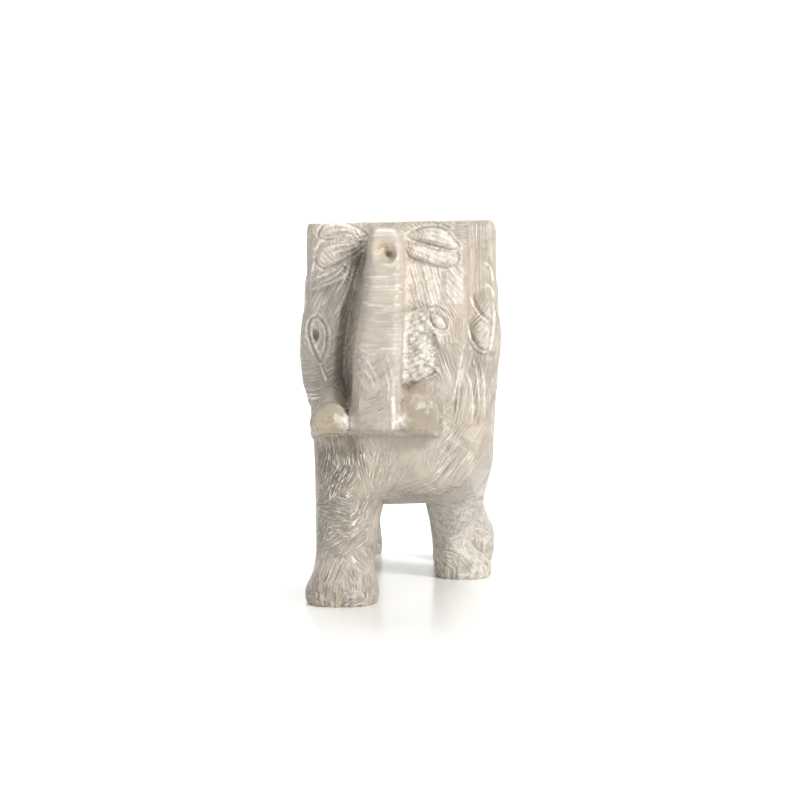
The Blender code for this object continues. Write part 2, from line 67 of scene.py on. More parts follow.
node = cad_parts["elephant"]
block = bpy.data.objects.new("rough_block", node.data.copy())
bpy.context.scene.collection.objects.link(block)
block.matrix_world = node.matrix_world
cells = block.modifiers.new("cells", "REMESH")
cells.mode = "VOXEL"
cells.voxel_size = CELL * U
rubbed = block.modifiers.new("rubbed", "SMOOTH")
rubbed.factor = 0.5
rubbed.iterations = RUBBING


def with_modifiers(ob):
    """The object's mesh as its modifiers leave it."""
    depsgraph = bpy.context.evaluated_depsgraph_get()
    depsgraph.update()
    return bpy.data.meshes.new_from_object(ob.evaluated_get(depsgraph), depsgraph=depsgraph)


skin = with_modifiers(block)
bpy.data.objects.remove(block, do_unlink=True)


def read(mesh, what):
    """Vertex coordinates or normals as rows."""
    rows = np.empty(len(mesh.vertices) * 3)
    mesh.vertices.foreach_get(what, rows)
    return rows.reshape(-1, 3)


# The flanks, the back and the legs are plain, so they are rubbed down further than the face.
points = read(skin, "co") / U + MIDDLE
block = bpy.data.objects.new("rubbed_block", skin)
bpy.context.scene.collection.objects.link(block)
plain = block.vertex_groups.new(name="plain")
far = np.clip((points[:, 1] - 24.0) / 6.0, 0, 1) + (points[:, 2] < 40.0)
far *= np.clip((points[:, 2] - 1.0) / 12.0, 0, 1) * np.clip((97.5 - points[:, 2]) / 2.0, 0, 1)
tail_middle = np.abs(points[:, 0] - TAIL[2])
far[(points[:, 1] > TAIL[0]) & (points[:, 2] > TAIL[1]) & (tail_middle < TAIL[3])] = 0.0
for share in (0.3, 0.6, 1.0):
    plain.add(np.nonzero(far >= share)[0].tolist(), share, "REPLACE")
rubbed = block.modifiers.new("rubbed", "SMOOTH")
rubbed.factor = 0.5
rubbed.iterations = RUBBING_PLAIN
rubbed.vertex_group = "plain"
skin = with_modifiers(block)
bpy.data.objects.remove(block, do_unlink=True)

points = read(skin, "co") / U + MIDDLE
uncut = points.copy()
normals = read(skin, "normal")
crushed_and_painted_light = np.zeros(len(points))       # how much white shows at each point: crushed stone, painted light and painted highlights


def bell(distance, width):
    """1 on the line, falling smoothly to 0 at the width."""
    return np.clip(1 - (distance / width) ** 2, 0, 1) ** 2


def flowing(path, steps=5):
    """More points along a path, on a smooth curve through the ones given."""
    rows = [np.array(p, float) for p in path]
    rows = [2 * rows[0] - rows[1]] + rows + [2 * rows[-1] - rows[-2]]
    out = []
    for k in range(1, len(rows) - 2):
        a, b, c, d = rows[k - 1:k + 3]
        for t in np.arange(steps) / steps:
            curve = 2 * b + (c - a) * t
            curve = curve + (2 * a - 5 * b + 4 * c - d) * t * t + (3 * b - a - 3 * c + d) * t ** 3
            out.append(0.5 * curve)
    out.append(rows[-2])
    return out


def distance_to(flat, path):
    """How far each drawn point lies from a line through the path, and how far along it, from 0 to 1."""
    nearest = np.full(len(flat), 1e9)
    along = np.zeros(len(flat))
    runs = len(path) - 1
    for k, (a, b) in enumerate(zip(path, path[1:])):
        run = b - a
        share = np.clip((flat - a) @ run / max(run @ run, 1e-9), 0.0, 1.0)
        away = np.linalg.norm(flat - a - share[:, None] * run, axis=1)
        closer = away < nearest
        nearest[closer] = away[closer]
        along[closer] = (k + share[closer]) / runs
    return nearest, along


def inside(flat, outline):
    """Which drawn points lie inside a closed outline."""
    x, y = flat[:, 0], flat[:, 1]
    within = np.zeros(len(flat), bool)
    closed = list(outline) + [outline[0]]
    for (ax, ay), (bx, by) in zip(closed, closed[1:]):
        crosses = (ay > y) != (by > y)
        within ^= crosses & (x < (bx - ax) * (y - ay) / ((by - ay) or 1e-9) + ax)
    return within


class Side:
    """One side of the stone as the carver's drawing: points on it, and cuts straight into it."""

    def __init__(self, axis, sign, chosen, facing=1.6):
        self.axis, self.sign = axis, sign
        self.at = np.nonzero(chosen & (sign * normals[:, axis] > 0.0))[0]
        self.flat = points[self.at][:, [i for i in range(3) if i != axis]]
        self.weight = np.clip(sign * normals[self.at, axis] * facing, 0, 1)

    def cut(self, amount):
        points[self.at, self.axis] -= self.sign * amount * self.weight

    def whiten(self, amount):
        crushed_and_painted_light[self.at] = np.maximum(crushed_and_painted_light[self.at], amount * self.weight)

    def groove(self, path, width, depth, lip=0.0, taper=True):
        """A cut along a path, with a raised white lip on both sides of it. It runs out at its ends."""
        away, along = distance_to(self.flat, flowing(path))
        ends = np.clip(np.minimum(along, 1 - along) * 5 + 0.25, 0, 1) if taper else 1.0
        self.cut(depth * ends * bell(away, width))
        if lip:
            edge = ends * bell(away - 1.3 * width, 0.7 * width)
            self.cut(-lip * edge)
            self.whiten(0.7 * edge)

    def ridge(self, path, width, height, white=0.9, taper=True):
        """A raised line with a white crest and a shallow cut along each side."""
        away, along = distance_to(self.flat, flowing(path))
        ends = np.clip(np.minimum(along, 1 - along) * 5 + 0.25, 0, 1) if taper else 1.0
        self.cut(-height * ends * bell(away, width))
        self.cut(0.5 * height * ends * bell(away - 1.4 * width, 0.8 * width))
        self.whiten(white * ends * bell(away, 0.8 * width))

    def pad(self, outline, rise, edge):
        """Stone left standing inside an outline."""
        ring = flowing(list(outline) + [outline[0]])
        away, along = distance_to(self.flat, ring)
        level = np.clip(away / edge, 0, 1) * inside(self.flat, ring)
        self.cut(-rise * level * (2 - level))

    def ring(self, outline, width, depth, lip=0.0):
        self.groove(list(outline) + [outline[0]], width, depth, lip, taper=False)

    def hollow(self, centre, half_sizes, turn, depth):
        away = self.flat - np.array(centre)
        u = away[:, 0] * cos(turn) + away[:, 1] * sin(turn)
        v = away[:, 1] * cos(turn) - away[:, 0] * sin(turn)
        self.cut(depth * bell(np.hypot(u / half_sizes[0], v / half_sizes[1]), 1.0))


TRUNK_BACK = 6.0
TRUNK_LOW = 45.0
FACE_BACK = 40.0
FACE_LOW = 44.0
face = Side(1, -1, (points[:, 1] > TRUNK_BACK) & (points[:, 1] < FACE_BACK) & (points[:, 2] > FACE_LOW))
trunk = Side(1, -1, (points[:, 1] <= TRUNK_BACK) & (points[:, 2] > TRUNK_LOW))

# The trunk.
# Raised against the forehead: a round tip with a drilled nostril, level rings under it, slanting folds
# where it bends, and a smooth root between the tusks.
RING_MIDDLE = ((98.0, -4.0), (91.0, -3.7), (84.0, -4.2), (76.0, -4.9), (68.0, -5.6), (60.0, -5.9))
RING_HALF = 6.2
RING_BOW = 0.5
BOLD_RINGS = (86.4, 84.1, 79.2)
BOLD_RIDGE = (0.4, 0.10, 0.45)
FINE_LINES = 16
FINE_TOP = (-4.8, 88.6)                         # middle and height of the uppermost fine line
FINE_PITCH = 1.5
FINE_CUT = (0.4, 0.06)
TRUNK_FOLDS = (
    ((-11.2, 68.4), (-8.6, 66.4), (-6.2, 66.2)),
    ((-11.9, 63.6), (-9.6, 65.4), (-7.6, 63.2), (-5.6, 59.4)),
    ((-11.6, 60.8), (-9.0, 61.8), (-6.4, 58.0)),
    ((-3.6, 66.4), (-2.2, 61.6), (-1.6, 55.6)),
    ((-4.4, 63.4), (-3.0, 58.6), (-2.8, 53.6)),
)
FOLD_RIDGE = (0.4, 0.08, 0.4)
NOSTRIL = ((-4.1, 92.6), (4.4, 3.9), 1.4)
BORE = ((-2.7, 91.4), (1.5, 1.4), 0.9)
NOSTRIL_RIM = ((-4.6, 89.1), (-2.4, 88.9), (-0.9, 90.2), (-0.6, 92.2), (-1.4, 94.2))
TRUNK_EDGE = ((0.9, 95.0), (1.4, 88.0), (1.0, 78.0), (0.2, 68.0), (-0.2, 58.0), (-0.2, 48.0))
EDGE_RIDGE = (0.7, 0.12, 0.25)
ROOT_SHEEN = ((-2.0, 56.0), (-1.6, 51.0), (-1.8, 46.4))
SHEEN_RIDGE = (1.1, 0.25, 0.6)
NOSTRIL_RIDGE = (0.7, 0.2, 0.5)
NOSTRIL_TURN = radians(-20.0)

for k, height in enumerate(BOLD_RINGS):
    middle = np.interp(height, [h for h, x in RING_MIDDLE][::-1], [x for h, x in RING_MIDDLE][::-1])
    path = [(middle + RING_HALF * s, height - RING_BOW * (1 - s * s) + 0.35 * sin(5.1 * k + 2 * s))
            for s in (-1.0, -0.5, 0.0, 0.5, 1.0)]
    trunk.ridge(path, *BOLD_RIDGE)
for k in range(FINE_LINES):
    height = FINE_TOP[1] - FINE_PITCH * k
    share = 0.5 + 0.5 * sin(2.3 * k)
    path = [(FINE_TOP[0] + RING_HALF * s, height - RING_BOW * (1 - s * s) + 0.4 * sin(3.7 * k + 3 * s))
            for s in (-1.0 + 0.5 * share, -0.3, 0.3, 0.6 + 0.4 * share)]
    trunk.groove(path, FINE_CUT[0], FINE_CUT[1] * (0.5 + share))
for path in TRUNK_FOLDS:
    trunk.ridge(path, *FOLD_RIDGE)
trunk.ridge(TRUNK_EDGE, *EDGE_RIDGE)
# The sheen low on the trunk is a ridge with a painted highlight along its crest.
trunk.ridge(ROOT_SHEEN, *SHEEN_RIDGE)
# The nostril's rim is a ridge with a painted highlight along its lower right half.
trunk.ridge(NOSTRIL_RIM, *NOSTRIL_RIDGE)
for centre, half_sizes, depth in (NOSTRIL, BORE):
    trunk.hollow(centre, half_sizes, NOSTRIL_TURN, depth)

# The forehead.
# Leaf petals fan out from the tip of the trunk on both sides, ribbed along their length. Ridges run down
# beside the trunk, a brow arches over the eye, and a deep cut frees the trunk from the face.
PETALS = (
    ((-7.8, 94.7), (-10.1, 94.6), (-13.2, 95.0), (-16.3, 95.2), (-19.7, 94.6), (-21.8, 92.0), (-21.7, 89.2),
     (-20.0, 87.7), (-17.1, 88.4), (-13.2, 90.4), (-10.4, 92.4)),
    ((-8.3, 96.4), (-11.1, 98.3), (-14.8, 99.4), (-18.6, 99.3), (-20.8, 97.6), (-20.9, 95.6), (-18.7, 95.2),
     (-15.3, 95.8), (-11.4, 95.4)),
    ((1.0, 94.2), (3.6, 94.2), (7.3, 93.0), (10.6, 92.4), (13.7, 92.4), (15.3, 90.9), (14.5, 88.7),
     (11.9, 87.9), (8.3, 88.6), (4.7, 89.8), (2.1, 91.4)),
    ((1.6, 96.0), (4.1, 97.6), (7.8, 98.5), (11.1, 98.0), (13.5, 95.7), (15.4, 93.4), (13.9, 92.8),
     (11.1, 93.2), (7.8, 94.0), (4.1, 94.9)),
)
PETAL_RISE = (0.38, 1.3)
PETAL_EDGE = (0.45, 0.2, 0.08)
PETAL_RIBS = (
    ((-19.6, 90.6), (-16.3, 92.0), (-12.4, 93.0), (-9.2, 94.1)),
    ((-19.8, 92.9), (-15.6, 93.8), (-11.6, 94.0)),
    ((-18.8, 88.9), (-15.2, 90.4), (-11.2, 92.4)),
    ((-19.0, 97.4), (-14.6, 97.6), (-10.8, 96.8)),
    ((1.3, 94.0), (6.0, 91.9), (11.6, 89.4)),
    ((4.2, 93.9), (8.4, 92.2), (13.0, 90.6)),
    ((2.4, 92.2), (6.4, 90.4), (10.2, 88.8)),
    ((3.4, 96.2), (7.8, 95.3), (12.6, 94.0)),
    ((5.0, 97.3), (9.4, 96.4), (13.0, 95.2)),
)
RIB_RIDGE = (0.42, 0.18, 0.6)
FAN = (
    ((-12.6, 89.4), (-14.1, 85.6), (-16.8, 81.0)),
    ((-11.7, 89.0), (-13.4, 83.0), (-16.2, 76.0)),
    ((-10.9, 88.4), (-12.3, 81.7), (-14.6, 73.4)),
    ((-13.6, 89.4), (-16.4, 86.2), (-20.6, 83.9)),
    ((-15.8, 88.0), (-19.6, 86.0), (-22.6, 85.0)),
)
FAN_RIDGE = (0.45, 0.32, 1.0)
BROW = ((-12.5, 87.9), (-15.1, 85.3), (-19.3, 83.4), (-23.7, 81.9))
BROW_RIDGE = (0.5, 0.28, 0.7)
FREEING = ((-10.4, 93.0), (-11.6, 87.0), (-13.6, 78.0), (-15.0, 69.0), (-15.6, 60.0), (-15.2, 52.0))
FREEING_CUT = (2.2, 1.0)
BESIDE_TRUNK = ((-8.6, 94.0), (-9.1, 89.2), (-10.7, 79.5), (-12.5, 68.0), (-13.2, 51.2), (-13.2, 46.0))
BESIDE_CUT = (4.0, 2.4)         # how far it reaches from the trunk's edge, and how deep it is there
BESIDE_TOP = 95.0
BESIDE_RUN_OUT = 6.0
PANEL = ((1.2, 90.0), (6.0, 89.4), (10.8, 88.2), (10.8, 79.0), (7.8, 78.2), (4.7, 79.0), (1.2, 78.0),
         (1.2, 90.0))
RIBBED = ((12.0, 89.6), (16.4, 89.6), (16.4, 78.6), (12.0, 78.6), (12.0, 89.6))
HEAD_CORNER = ((-20.8, 96.4), (-22.3, 90.2), (-23.3, 85.0), (-23.6, 79.0))

for outline in PETALS:
    face.pad(outline, *PETAL_RISE)
for outline in PETALS:
    face.ring(outline, *PETAL_EDGE)
for path in PETAL_RIBS:
    face.ridge(path, *RIB_RIDGE)
for path in FAN:
    face.ridge(path, *FAN_RIDGE)
face.ridge(BROW, *BROW_RIDGE)
face.groove(FREEING, *FREEING_CUT)
beside_trunk = (points[:, 1] > -2.0) & (points[:, 1] < 20.0)
recess = Side(1, -1, beside_trunk & (points[:, 2] > 46.0) & (points[:, 2] < BESIDE_TOP))
edge = np.interp(recess.flat[:, 1], [z for x, z in BESIDE_TRUNK][::-1], [x for x, z in BESIDE_TRUNK][::-1])
away = edge - recess.flat[:, 0]
fades = np.clip((BESIDE_TOP - recess.flat[:, 1]) / BESIDE_RUN_OUT, 0, 1)
recess.cut(BESIDE_CUT[1] * np.clip(1 - away / BESIDE_CUT[0], 0, 1) * (away > 0) * fades)
face.ridge(HEAD_CORNER, 0.4, 0.2)

for outline, white in ((PANEL, 0.4), (RIBBED, 0.3), (PETALS[2], 0.35), (PETALS[3], 0.25)):
    from_edge = np.clip(distance_to(face.flat, flowing(outline))[0] / 0.8, 0, 1)
    face.whiten(white * inside(face.flat, outline) * from_edge)

# The eyes.
# The right eye is a tall almond with a sunk pupil, cut on the corner of the head. The left one is small,
# slanting, under two lids, with a smooth band under it.
EYE_RIGHT = ((-21.4, 75.2), (-19.4, 72.6), (-18.9, 69.3), (-19.4, 66.3), (-20.7, 63.3), (-22.2, 65.7),
             (-23.5, 69.1), (-24.0, 71.9), (-23.2, 74.2))
EYE_RIGHT_BALL = ((-21.6, 69.6), (1.9, 4.6), radians(-6.0), -0.75)
PUPIL = ((-22.0, 70.0), (1.3, 2.7), radians(-4.0), 2.1)
EYE_CUT = (0.5, 0.55, 0.34)
EYE_LEFT = ((7.7, 75.9), (9.6, 76.0), (11.3, 74.4), (12.2, 72.3), (10.4, 71.9), (8.5, 73.2))
EYE_LEFT_BALL = ((9.9, 74.0), (2.3, 1.5), radians(-42.0), -0.8)
LIDS = (
    ((6.6, 76.6), (9.4, 77.2), (12.2, 75.2), (13.6, 72.4)),
    ((6.9, 78.1), (9.8, 78.5), (12.9, 76.4)),
    ((8.4, 71.4), (10.6, 70.5), (12.8, 70.6)),
)
LID_RIDGE = (0.45, 0.25, 0.7)
BAND = ((4.4, 76.6), (7.3, 73.2), (9.4, 70.4), (10.6, 67.6))
BAND_CUT = (1.1, -0.5)
TEAR_SLIT = ((-20.9, 62.6), (-19.9, 60.2), (-19.0, 57.8))

face.ring(EYE_RIGHT, *EYE_CUT)
face.hollow(*EYE_RIGHT_BALL)
face.hollow(*PUPIL)
face.ring(EYE_LEFT, 0.4, 0.45, 0.2)
face.hollow(*EYE_LEFT_BALL)
# Painted highlight on the left eyeball.
face.whiten(0.8 * bell(np.linalg.norm(face.flat - np.array(EYE_LEFT_BALL[0]), axis=1), 1.4))
for path in LIDS:
    face.ridge(path, *LID_RIDGE)
face.groove(BAND, *BAND_CUT)
face.ridge(TEAR_SLIT, 0.5, 0.35)

# The left ear and cheek.
# The front edge of the ear rolls onto the face in scrolls. Under them a long tear-shaped fold runs down,
# and the cheek between the ear and the trunk is left rough and pitted.
SCROLLS = (
    ((22.2, 89.2), (23.9, 87.2), (24.6, 83.8)),
    ((22.4, 83.4), (24.1, 82.2), (24.9, 79.0)),
    ((18.4, 80.2), (19.4, 77.6), (20.8, 75.4), (23.2, 73.4)),
    ((17.2, 74.6), (17.9, 71.4), (19.1, 68.1), (20.8, 66.2), (23.0, 65.6)),
    ((24.9, 82.0), (24.7, 76.0), (24.2, 70.0), (23.4, 65.8)),
)
SCROLL_RIDGE = (0.5, 0.30, 0.9)
CHEEK_LINES = (
    ((16.8, 68.0), (15.2, 59.6), (13.4, 51.4)),
    ((16.7, 62.4), (18.4, 57.5), (19.1, 52.8), (18.9, 47.4)),
    ((16.6, 62.2), (15.4, 56.6), (14.8, 49.0)),
    ((20.6, 64.0), (22.2, 57.0), (22.0, 50.0)),
    ((18.6, 65.4), (20.2, 59.6), (20.8, 51.6)),
)
LINE_RIDGE = (0.4, 0.2, 0.7)
EAR_HOLLOW = ((21.4, 79.2), (1.8, 3.4), radians(20.0), 0.5)
EAR_LOBES = (
    ((20.2, 78.0), (22.0, 82.4), (24.8, 82.6), (25.0, 75.4), (23.2, 74.4), (21.4, 75.6)),
    ((17.8, 73.8), (20.4, 74.2), (24.6, 72.0), (24.4, 67.2), (21.8, 66.4), (19.4, 68.8)),
)
LOBE_RISE = (0.16, 0.7)
JOINT_LINE = ((16.4, 99.4), (17.2, 88.0), (17.4, 76.0), (17.0, 68.0))
CHEEK = ((0.6, 76.5), (5.2, 77.0), (8.0, 73.0), (9.2, 67.4), (9.0, 61.4), (6.3, 58.0), (0.2, 57.7))
PITS = ((1.7, 69.6, 0.8), (1.4, 62.6, 0.7), (3.6, 66.0, 0.6), (5.4, 70.6, 0.6), (4.2, 61.2, 0.5),
        (2.6, 73.4, 0.55))
PIT_DEPTH = 0.5
CRUMBLE = 0.24
CRUMB_SIZES = (0.55, 1.9)       # coarse and fine lumps, in lumps to a millimetre
MOUTH_RIDGE = (0.5, 0.35, 0.7)
MOUTH_FOLDS = (
    ((0.6, 60.6), (4.2, 62.6), (8.2, 62.4), (11.6, 59.2)),
    ((9.8, 58.2), (11.4, 54.0), (11.2, 49.6)),
)

for outline in EAR_LOBES:
    face.pad(outline, *LOBE_RISE)
face.hollow(*EAR_HOLLOW)
for path in SCROLLS:
    face.ridge(path, *SCROLL_RIDGE)
for path in CHEEK_LINES:
    face.ridge(path, *LINE_RIDGE)
face.groove(JOINT_LINE, 0.9, 0.4)
rim = distance_to(face.flat, flowing(CHEEK))[0]
rough = inside(face.flat, CHEEK) * np.clip(rim, 0, 1)
coarse = np.array([noise.noise(Vector(p) * CRUMB_SIZES[0]) for p in points[face.at]])
slanted = points[face.at] + 0.5 * points[face.at][:, [2]] * (1.0, 0.0, 0.0)
crumble = coarse + 0.7 * np.array([noise.noise(Vector(p) * CRUMB_SIZES[1]) for p in slanted])
face.cut(CRUMBLE * rough * crumble)
face.whiten(rough * np.clip(1.05 - 1.3 * crumble, 0.4, 1))
for x, height, radius in PITS:
    face.hollow((x, height), (radius, radius), 0.0, PIT_DEPTH)
for path in MOUTH_FOLDS:
    face.ridge(path, *MOUTH_RIDGE)

# The tusks and the chin.
# Short blunt stumps with rounded ends. They rest on a thin chin slab that ends in a sharp level ledge.
TUSK_CREASES = (
    ((-12.7, 46.6), (-13.0, 50.6), (-15.2, 53.2), (-17.9, 54.0), (-20.8, 52.4), (-23.0, 49.4)),
    ((-0.6, 47.0), (-0.4, 52.4), (1.6, 56.4), (4.8, 57.9), (8.0, 56.0), (9.6, 51.4), (9.9, 47.4)),
)
TUSK_CREASE = (0.6, 0.35, 0.0)
TUSK_ENDS = ((-18.0, 49.2), (4.8, 50.8))
TUSK_END = (-0.6, 0.4)          # the depth where the ends begin, and what is left of their roundness
TUSK_SHEEN = (((-13.4, 48.6), 3.2), ((0.4, 49.0), 2.6))
CHIN_LINE = ((-23.0, 46.2), (-6.0, 46.0), (11.0, 46.2))
LEDGE_SHARE = 0.42              # how much of the stone under its edge is pared away
LEDGE_EDGE = 46.8
LEDGE_UNDER = 42.2
LEDGE_DEPTH = 6.5
chin = Side(1, -1, (points[:, 1] <= 12.0) & (points[:, 2] > 41.0) & (points[:, 2] < 60.0))
beside = np.minimum(np.abs(points[:, 0] + 18.0) / 5.4, np.abs(points[:, 0] - 5.2) / 5.4)
ends = (points[:, 1] < TUSK_END[0]) & (points[:, 2] > 44.0) & (points[:, 2] < 60.0) & (beside < 1.0)
points[ends, 1] = TUSK_END[0] + TUSK_END[1] * (points[ends, 1] - TUSK_END[0])
for path in TUSK_CREASES:
    chin.groove(path, *TUSK_CREASE, taper=False)
chin.groove(CHIN_LINE, 0.45, 0.2, taper=False)
# Painted highlights: pale patches on the ends of the tusks.
for centre, reach in TUSK_SHEEN:
    chin.whiten(0.6 * bell(np.linalg.norm(chin.flat - np.array(centre), axis=1), reach))
under = (points[:, 2] > LEDGE_UNDER) & (points[:, 2] < LEDGE_EDGE)
reach = np.clip((LEDGE_DEPTH - points[under, 1]) / 2.0, 0, 1)
points[under, 2] += (LEDGE_EDGE - points[under, 2]) * LEDGE_SHARE * reach

# The chest.
# A rounded bib under the chin between the forelegs, and long slanting cuts down from the left cheek.
chest = Side(1, -1, (points[:, 1] < 30.0) & (points[:, 2] < 47.0) & (points[:, 2] > 24.0))
BIB = ((-6.9, 41.8), (-4.4, 37.4), (-0.4, 33.6), (4.1, 33.2), (8.4, 35.6))
CHEST_CUTS = (
    ((7.8, 42.7), (13.6, 38.8), (19.6, 34.8)),
    ((9.8, 45.6), (15.0, 41.8), (21.6, 38.2)),
    ((13.6, 45.8), (18.0, 43.2), (22.6, 41.6)),
    ((4.0, 31.4), (8.6, 32.2), (13.4, 30.4)),
    ((-6.4, 33.6), (-3.0, 30.0), (1.0, 28.6)),
)
BIB_CUT = (1.0, 0.26)
CHEST_RIDGE = (0.35, 0.07, 0.2)
chest.groove(BIB, *BIB_CUT)
for path in CHEST_CUTS:
    chest.ridge(path, *CHEST_RIDGE)

# The ears on the flanks, the shoulder and the hip.
# The fans lie back along the sides with folds that open from the front. The flanks are plain behind them,
# with one line round the shoulder and one round the hip.
EAR_FOLDS = (
    ((25.0, 84.0), (35.0, 84.6), (43.6, 78.0), (45.0, 67.0)),
    ((24.6, 78.0), (33.4, 76.0), (38.8, 67.0), (37.6, 57.4)),
    ((24.0, 71.0), (29.4, 67.0), (31.0, 57.0)),
    ((25.4, 81.0), (34.2, 80.4), (41.4, 72.6), (41.4, 62.0)),
    ((24.4, 74.6), (31.6, 71.6), (34.8, 62.4), (34.0, 54.4)),
)
FOLD_LINE = (0.75, 0.45, 0.2)
EAR_RIM = ((27.0, 86.0), (34.0, 87.0), (45.0, 85.8), (52.3, 78.0), (52.6, 67.4), (48.9, 58.2), (42.0, 53.0),
           (32.5, 51.6))
RIM_CUT = (1.5, 0.9, 0.1)
HIP = ((72.0, 40.0), (70.0, 52.0), (74.0, 64.0), (84.0, 70.0), (94.0, 68.0))
SHOULDER = ((48.0, 50.0), (51.0, 42.0), (52.0, 34.0))
BODY_LINE = (1.4, 0.3, 0.2)
for sign in (-1, 1):
    flank = Side(0, sign, (sign * points[:, 0] > 12.0) & (points[:, 2] > 20.0))
    flank.groove(EAR_RIM, *RIM_CUT)
    for path in EAR_FOLDS:
        flank.groove(path, *FOLD_LINE)
    for path in (HIP, SHOULDER):
        flank.groove(path, *BODY_LINE)

# The feet.
# Round, spreading a little at the sole, with nails cut as short upright strokes under a shallow line.
FEET = (                        # middle x, middle depth, half width, half depth
    (-15.1, 10.2, 9.4, 10.2),
    (17.3, 52.2, 8.1, 10.1),
    (19.2, 82.4, 9.5, 11.0),
    (-14.0, 92.6, 8.7, 10.4),
)
HIND_TOES = (
    ((20.6, 9.0), (24.0, 7.8), (28.6, 8.8)),
    ((20.4, 4.4), (24.0, 4.8), (28.6, 5.6)),
)
NAILS = 5
NAIL_ARC = radians(126.0)
NAIL_TOP = 4.2
NAIL_CUT = (0.5, 0.55)
NAIL_ARCH = (0.4, 0.5)
on_hind_foot = (points[:, 0] > 14.0) & (points[:, 1] > 66.0) & (points[:, 1] < 82.0)
hind_left = Side(1, -1, on_hind_foot & (points[:, 2] < 14.0))
for path in HIND_TOES:
    hind_left.groove(path, 1.0, 0.9, taper=False)
hind_left.ridge(((21.2, 3.0), (23.8, 5.2)), 0.5, 0.3)
for x, depth, half_width, half_depth in FEET:
    out = np.hypot((points[:, 0] - x) / half_width, (points[:, 1] - depth) / half_depth)
    at = np.nonzero((out > 0.75) & (out < 1.4) & (points[:, 2] < NAIL_TOP + 2.5))[0]
    around = np.arctan2((points[at, 0] - x) / half_width, -(points[at, 1] - depth) / half_depth)
    share = around / NAIL_ARC + 0.5
    within = (share > -0.02) & (share < 1.02)
    beside = np.abs(share * NAILS - np.round(share * NAILS)) * NAIL_ARC / NAILS * half_width
    arch = NAIL_TOP + 0.9 * np.abs(np.sin(share * NAILS * pi)) - 0.6
    amount = NAIL_CUT[0] * bell(beside, NAIL_CUT[1]) * (points[at, 2] < arch) * within
    amount += NAIL_ARCH[0] * bell(points[at, 2] - arch, NAIL_ARCH[1]) * within
    points[at, 0] -= amount * np.sin(around)
    points[at, 1] += amount * np.cos(around)

# The chisel.
# The whole figure was worked over with a narrow chisel, in patches of a few close strokes. Each patch has
# its own direction. The strokes leave shallow scoops with thin crests, on a slightly uneven surface.
PATCH_GAP = 4.0
PATCH_TRIES = 7000
PATCH_BORDER = 0.9
STROKE = np.array((0.85, 3.4))  # width and length of a stroke
SCOOP = 0.20
WANDER = (0.22, 0.25)           # how far strokes stray from straight and even, as shares of a stroke
COLUMN = (0.6180, 0.7549)       # steps that make each row of strokes start and run differently from the next
SWELL = ((9.0, 0.26), (3.4, 0.13))
BARELY_WORKED = 0.15            # the trunk and the sawn top
HATCHED = 0.3
SAW_EDGE = 0.4
HATCH_ZONES = (                 # outline, direction, width and length of a stroke, strength
    (((1.6, 89.6), (10.8, 88.2), (10.8, 79.0), (7.8, 78.2), (4.7, 79.0), (1.6, 78.0)), 104.0, 1.0, 9.0, 0.6),
    (((12.0, 89.6), (16.4, 89.6), (16.4, 78.6), (12.0, 78.6)), 130.0, 1.1, 3.6, 0.6),
    (((17.4, 99.6), (26.0, 99.6), (26.0, 80.0), (17.4, 80.0)), 91.0, 0.9, 9.0, 0.4),
    (((-19.6, 71.4), (-14.2, 72.4), (-14.2, 57.0), (-19.3, 57.6)), 32.0, 1.15, 8.0, 0.9),
    (((10.2, 68.0), (15.6, 68.0), (14.6, 52.4), (9.8, 56.6)), 108.0, 0.9, 7.0, 0.6),
    (((-26.5, 64.0), (-20.4, 63.0), (-20.4, 52.4), (-26.5, 53.0)), 12.0, 0.9, 6.0, 0.8),
    (((-23.8, 84.0), (-14.6, 84.6), (-14.6, 74.0), (-23.8, 76.0)), 62.0, 0.95, 6.0, 0.6),
    (((15.6, 66.0), (24.8, 66.0), (25.0, 47.0), (13.4, 47.0)), 78.0, 0.95, 8.0, 0.6),
    (((-0.5, 78.0), (9.4, 77.0), (9.4, 57.0), (-0.5, 57.0)), 28.0, 1.2, 2.2, 1.0),
    (((8.0, 47.0), (24.0, 47.0), (24.0, 30.0), (8.0, 30.0)), 52.0, 1.0, 8.0, 0.6),
)
rng = np.random.default_rng(7)
noise.seed_set(7)


def scattered(rows, gap, tries):
    """Rows picked at random, none nearer to another than the gap."""
    kept = []
    for row in rng.permutation(len(rows))[:tries]:
        if not kept or np.min(np.linalg.norm(rows[kept] - rows[row], axis=1)) > gap:
            kept.append(row)
    return np.array(kept)


def directions(facings):
    """Two directions in the surface for each facing: one level, one rising."""
    across = np.cross((0.0, 0.0, 1.0), facings)
    across[np.linalg.norm(across, axis=1) < 0.2] = (1.0, 0.0, 0.0)
    across /= np.linalg.norm(across, axis=1)[:, None]
    return across, np.cross(facings, across)


skin.vertices.foreach_set("co", ((points - MIDDLE) * U).ravel())
skin.update()
normals = read(skin, "normal")
chosen = scattered(points, PATCH_GAP, PATCH_TRIES)
patches = points[chosen]
across, rising = directions(normals[chosen])
turns = np.array([radians(150.0) * noise.noise(Vector(p) * 0.06) for p in patches])
turns += rng.uniform(-1.0, 1.0, len(patches)) * radians(40.0)
starts = rng.uniform(0.0, 50.0, (len(patches), 2))
sizes = STROKE * rng.uniform(0.75, 1.4, (len(patches), 2))
tree = kdtree.KDTree(len(patches))
for k, p in enumerate(patches):
    tree.insert(p, k)
tree.balance()


def stray(places):
    """How far strokes stray from straight and even at each place."""
    return np.array([noise.noise_vector(Vector(p) * 0.5) for p in places])[:, :2] * WANDER


def on_patch(places, owner):
    """Where places lie on their patch, counted in stroke widths and stroke lengths."""
    offset = places - patches[owner]
    u = np.einsum("ij,ij->i", offset, across[owner])
    v = np.einsum("ij,ij->i", offset, rising[owner])
    c, s = np.cos(turns[owner]), np.sin(turns[owner])
    placed = np.stack((u * c + v * s, v * c - u * s), axis=1) / sizes[owner] + starts[owner] + stray(places)
    return placed[:, 0], placed[:, 1]


